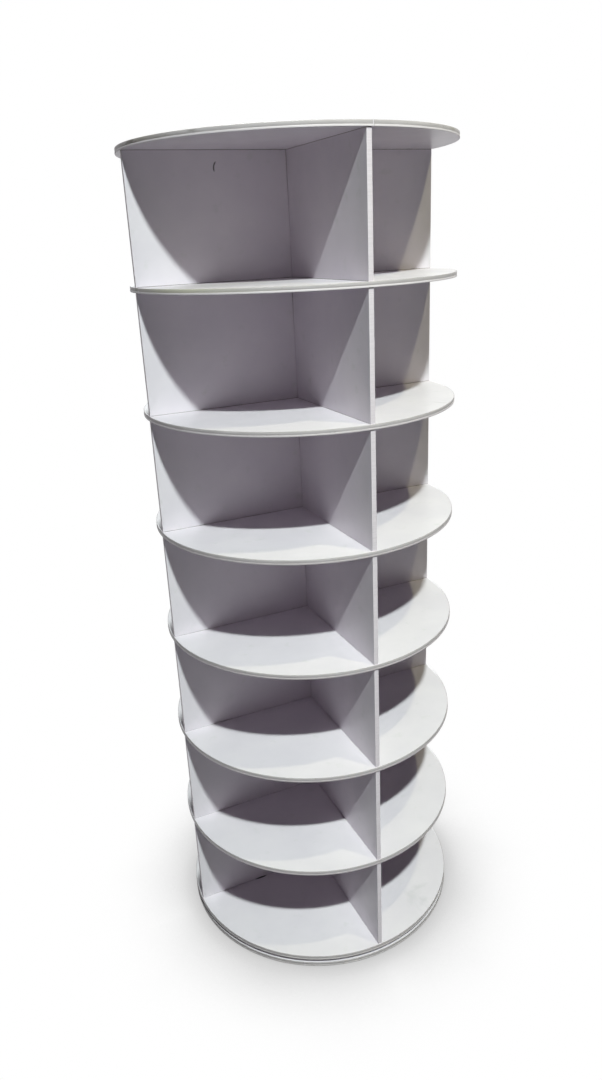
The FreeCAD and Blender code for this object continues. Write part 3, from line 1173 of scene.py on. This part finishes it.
@dataclass
class CountersunkScrews:
    """The bearing's countersunk screws, six a ring, with a cross recess and a rolled thread."""

    finish: ZincPlate
    count: int = 6
    head_radius: float = 4 * MM
    head_rim: float = 0.2 * MM
    head_height: float = 2 * MM
    shank_radius: float = 2 * MM
    root_radius: float = 1.5 * MM
    thread_pitch: float = 1 * MM
    recess_length: float = 3.6 * MM
    recess_width: float = 0.9 * MM
    recess_depth: float = 1.4 * MM
    root_share: float = 0.3
    crest_share: float = 0.8
    steps: int = 24
    smooth_under: float = 35

    def profile(self, low: float, high: float) -> list[Pair]:
        """Draws the section of a screw whose head faces down, with a ridge for each turn of its thread.

        Args:
            low: height of the head's flat face.
            high: height of the tip.

        Returns:
            The section's corners as radius and height.
        """
        neck = low + self.head_height
        points = [(0, low), (self.head_radius, low), (self.head_radius, low + self.head_rim)]
        points += [(self.shank_radius, neck)]
        turns = int((high - neck - self.shank_radius) / self.thread_pitch)
        for turn in range(turns):
            foot = neck + turn * self.thread_pitch
            points += [(self.root_radius, foot + self.root_share * self.thread_pitch)]
            points += [(self.shank_radius, foot + self.crest_share * self.thread_pitch)]
        return [*points, (self.root_radius, high - self.root_radius), (0, high)]

    def recess_cutter(self, place: Vector) -> Piece:
        """Builds the cross that is cut into a head.

        Args:
            place: middle of the head's flat face.

        Returns:
            The cutter.
        """
        near, far = self.recess_width / 2, self.recess_length / 2
        arm = [(near, near), (near, far), (-near, far)]
        cross = []
        for c, s in ((1, 0), (0, 1), (-1, 0), (0, -1)):
            cross += [Vector((c * x - s * y, s * x + c * y, -self.recess_depth)) for x, y in arm]
        cutter = draw_outline("recess_cutter", [place + point for point in cross])
        thicken(cutter, Vector((0, 0, 2 * self.recess_depth)))
        return cutter

    def build_ring(self, name: str, node: str, body: Body, material: Material) -> None:
        """Builds the six screws of one ring.

        Args:
            name: name of the joined piece.
            node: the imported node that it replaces.
            body: the body it rides on.
            material: its finish.
        """
        low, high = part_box(node)
        circle = high[0] - self.head_radius
        place = Vector((circle, 0, low[2]))
        points = [Vector((circle + r, 0, z)) for r, z in self.profile(low[2], high[2])]
        screw = draw_outline(name, points)
        turn_outline(screw, place, math.tau, self.steps)
        cutter = self.recess_cutter(place)
        cut = screw.modifiers.new("recess", "BOOLEAN")
        cut.operation, cut.object = "DIFFERENCE", cutter
        select_only(screw)
        bpy.ops.object.modifier_apply(modifier=cut.name)
        bpy.data.objects.remove(cutter)
        screw.data.materials.clear()
        screw.data.materials.append(material)
        turns = [Matrix.Rotation(math.tau * i / self.count, 4, "Z") for i in range(1, self.count)]
        screws = join_pieces(name, [screw, *(copy_piece(screw, turn) for turn in turns)])
        smooth(screws, self.smooth_under)
        hand_over(screws, body, "screw_zinc", node)

    def build(self) -> None:
        """Builds the screws of both rings."""
        material = self.finish.make()
        self.build_ring("countersunk_base_screws", "base_screws", Body.BASE, material)
        self.build_ring("countersunk_turntable_screws", "turntable_screws", Body.TOWER, material)


@dataclass
class FlutedDowels:
    """The wooden dowels between boards and panels, with flutes that let the glue out."""

    sizes: RackSizes
    finish: BeechWood
    radius: float = 2.5 * MM
    flutes: int = 12
    flute_depth: float = 0.25 * MM
    bevel: float = 0.6 * MM
    circles: Pair = (100 * MM, 230 * MM)
    smooth_under: float = 20

    def dowel(self, name: str, low: float, high: float) -> Piece:
        """Builds one dowel on the rack's axis.

        Args:
            name: name of the piece.
            low: height of its foot.
            high: height of its top.

        Returns:
            The dowel.
        """
        circle = []
        for i in range(2 * self.flutes):
            angle = math.tau * i / (2 * self.flutes)
            reach = self.radius - self.flute_depth * (i % 2)
            circle.append(Vector((reach * math.cos(angle), reach * math.sin(angle), low + self.bevel)))
        piece = draw_outline(name, circle)
        thicken(piece, Vector((0, 0, high - low - 2 * self.bevel)))
        with editing(piece):
            for end in (-1, 1):
                pick(piece, Pick.FACES, lambda middle, normal: normal.z * end > ALONG)
                bpy.ops.mesh.extrude_region_move(TRANSFORM_OT_translate={"value": (0, 0, end * self.bevel)})
                shrink = 1 - self.bevel / self.radius
                bpy.ops.transform.resize(value=(shrink, shrink, 1), center_override=(0, 0, 0))
        return piece

    def build(self) -> None:
        """Builds the dowels of all the boards above the base."""
        material = self.finish.make()
        for board in self.sizes.board_names()[1:]:
            node = self.sizes.node(board, "dowels")
            low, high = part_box(node)
            first = self.dowel(f"fluted_dowels_{board}", low[2], high[2])
            places = [
                Matrix.Rotation(math.tau * quarter / 4, 4, "Z") @ Matrix.Translation((reach, 0, 0))
                for quarter in range(4)
                for reach in self.circles
            ]
            copies = [copy_piece(first, place) for place in places]
            bpy.data.objects.remove(first)
            dowels = join_pieces(f"fluted_dowels_{board}", copies)
            dowels.data.materials.append(material)
            smooth(dowels, self.smooth_under)
            hand_over(dowels, Body.TOWER, "dowel_beech", node)


# Studio


@dataclass(frozen=True)
class StudioFloor:
    """A plain pale floor, seamless white to the camera, with the soft shadow round the rack's foot.

    As the share of the sky that a point of the floor sees goes over open_span, shade_near goes over to white.
    """

    width: float = 24.0
    cells: int = 8
    pale: str = "#5A595C"
    shadow_reach: float = 0.34
    shadow_samples: int = 16
    open_span: Pair = (0.45, 0.95)
    shade_near: float = 0.5

    def build(self) -> None:
        """Adds the floor."""
        clear_selection()
        bpy.ops.mesh.primitive_grid_add(x_subdivisions=self.cells, y_subdivisions=self.cells, size=self.width)
        floor = bpy.context.object
        floor.name = "studio_floor"
        material, tree, _ = new_finish("studio_floor_paint")
        reach = {"Distance": self.shadow_reach}
        sky = add_node(tree, "AmbientOcclusion", reach, "AO", samples=self.shadow_samples)
        level = add_node(tree, "MapRange", {"Value": sky, **between(self.open_span, (self.shade_near, 1.0))})
        white = add_node(tree, "Emission", {"Strength": level, "Color": srgb("#FFFFFF")})
        paint = add_node(tree, "BsdfDiffuse", {"Color": srgb(self.pale)})
        mixed = add_node(tree, "MixShader", {0: seen_directly(tree), 1: paint, 2: white})
        add_node(tree, "OutputMaterial", {"Surface": mixed})
        floor.data.materials.append(material)


def seen_directly(tree: Tree) -> Socket:
    """Says where a ray comes from the camera, or off a glossy or through a clear surface.

    Args:
        tree: the node tree.

    Returns:
        A value that is 1 there and 0 elsewhere.
    """
    path = add_node(tree, "LightPath").node.outputs
    some = add_node(tree, "Math", {0: path["Is Camera Ray"], 1: path["Is Glossy Ray"]}, operation="MAXIMUM")
    return add_node(tree, "Math", {0: some, 1: path["Is Transmission Ray"]}, operation="MAXIMUM")


@dataclass(frozen=True)
class Lamp:
    """A round soft lamp: its place, what it points at, its width, power and colour.

    Light linking keeps its light off the nodes in shaded.
    """

    name: str
    place: Point
    aim: Point
    width: float
    power: float
    colour: str
    shaded: tuple[str, ...] = ()

    def build(self) -> None:
        """Adds the lamp."""
        data = bpy.data.lights.new(self.name, "AREA")
        data.shape, data.size = "DISK", self.width
        data.energy, data.color = self.power, srgb(self.colour)[:3]
        lamp = bpy.data.objects.new(self.name, data)
        bpy.context.collection.objects.link(lamp)
        lamp.location = self.place
        lamp.rotation_euler = (Vector(self.aim) - lamp.location).to_track_quat("-Z", "Y").to_euler()
        if self.shaded:
            receivers = bpy.data.collections.new(f"{self.name}_receivers")
            lamp.light_linking.receiver_collection = receivers
            for node in self.shaded:
                receivers.objects.link(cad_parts[node])
            for member in receivers.collection_objects:
                member.light_linking.link_state = "EXCLUDE"


@dataclass(frozen=True)
class Camera:
    """The photograph's camera, held by hand: place, heading from +Y towards +X, downward tilt and roll."""

    place: Point = (-0.6397, -1.4474, 1.4374)
    heading: float = 23.531
    tilt: float = 20.453
    roll: float = -2.725
    lens: float = 26.957
    sensor: float = 36.0

    def build(self) -> None:
        """Adds the camera and makes it the scene's."""
        heading, tilt, roll = (math.radians(angle) for angle in (self.heading, self.tilt, self.roll))
        forward = Vector((math.sin(heading), math.cos(heading), 0))
        ahead = forward * math.cos(tilt) - Vector((0, 0, math.sin(tilt)))
        level = Vector((math.cos(heading), -math.sin(heading), 0))
        upward = level.cross(ahead)
        right = level * math.cos(roll) + upward * math.sin(roll)
        top = upward * math.cos(roll) - level * math.sin(roll)
        data = bpy.data.cameras.new("photo_camera")
        data.lens, data.sensor_width, data.sensor_fit = self.lens, self.sensor, "AUTO"
        camera = bpy.data.objects.new("photo_camera", data)
        bpy.context.collection.objects.link(camera)
        turn = Matrix((right, top, -ahead)).transposed()
        camera.matrix_world = Matrix.Translation(self.place) @ turn.to_4x4()
        bpy.context.scene.camera = camera


@dataclass(frozen=True)
class Surroundings:
    """Even light from all round, white where it is seen directly."""

    tint: str = "#F2DCF2"
    strength: float = 0.012

    def build(self) -> None:
        """Sets up the world."""
        world = bpy.data.worlds.new("studio_surroundings")
        bpy.context.scene.world = world
        world.use_nodes = True
        tree = world.node_tree
        tree.nodes.clear()
        fill = add_node(tree, "Background", {"Color": srgb(self.tint), "Strength": self.strength})
        white = add_node(tree, "Background", {"Color": srgb("#FFFFFF"), "Strength": 1.0})
        mixed = add_node(tree, "MixShader", {0: seen_directly(tree), 1: fill, 2: white})
        add_node(tree, "OutputWorld", {"Surface": mixed})


@dataclass(frozen=True)
class Studio:
    """Camera, lamps, surroundings and floor.

    The edges of the shadows in the compartments give the places of the two front lamps. The rear lamp lights
    only the back. Side and rear lamp would clip the top board's upper face to white, so they leave it out.
    """

    camera: Camera = Camera()
    key: Lamp = Lamp(
        "ceiling_lamp", place=(-0.489, -2.789, 4.278), aim=(-0.56, -4.2, 0), width=0.24, power=450,
        colour="#F0FFF6",
    )
    side: Lamp = Lamp(
        "side_lamp", place=(0.668, -1.157, 3.393), aim=(0, 0, 0.5), width=0.08, power=18.5, colour="#FAFCCF",
        shaded=("top_disc",),
    )
    rear: Lamp = Lamp(
        "rear_lamp", place=(0.45, 2.04, 4.3), aim=(0, 0, 0.8), width=0.4, power=200, colour="#F0FFF6",
        shaded=("top_disc",),
    )
    surroundings: Surroundings = Surroundings()
    floor: StudioFloor = StudioFloor()

    def build(self) -> None:
        """Adds everything round the object."""
        for part in (self.camera, self.key, self.side, self.rear, self.surroundings, self.floor):
            part.build()
        bpy.context.scene.view_settings.view_transform = "Standard"


def main() -> None:
    """Builds the looks, sub-assembly by sub-assembly."""
    logging.basicConfig(level=logging.INFO, format="%(message)s")
    sizes = RackSizes.from_frame()
    board_marks = (PAINTED_FOOT_GAP_SHADE, SHELF_SCRATCH, *TURNTABLE_SMUDGES, TOP_SHELF_PAINTED_SHADE)
    board_face = MelamineFace(marks=board_marks)
    panel_face = MelamineFace(name="melamine_faced_panel", marks=(PAINTED_FOOT_GAP_SHADE, PANEL_SCRATCH))
    rim_grey = ExtrudedBand(
        "pvc_rim_band_grey", light="#C2B8BD", dark="#B0A6AB", soil_share=0.5, marks=RIM_MARKS
    )
    # The lips are painted darker on the lower boards: painted shade.
    lip_white = ExtrudedBand("pvc_rim_band_lip", light="#D9CED7", dark="#D0C5CD", low_shade="#B2A7AE")
    edge_dark = ExtrudedBand("pvc_rim_band_top_edge", light="#8C8587", dark="#7C7577")
    strip_grey = ExtrudedBand("pvc_panel_band", light="#DBCED9", dark="#CFC2CD")
    # The strips' arrises are lighter: a painted highlight.
    strip_arris_highlight = ExtrudedBand("pvc_panel_band_arris_painted_highlight", light="#E8DBE6", dark="#E0D3DE")

    Studio().build()
    RoundBoards(sizes, board_face).build()
    RimBands(sizes, rim_grey, lip_white, edge_dark, seam_angles={"top": -88.9}).build()
    HalvedPanels(sizes, panel_face, RawCore()).build()
    PanelEndBands(sizes, strip_grey, strip_arris_highlight).build()
    BearingParts(TurnedAluminium(), GroundSteel(), MouldedNylon()).build()
    CountersunkScrews(ZincPlate()).build()
    FlutedDowels(sizes, BeechWood()).build()


if __name__ == "__main__":
    main()
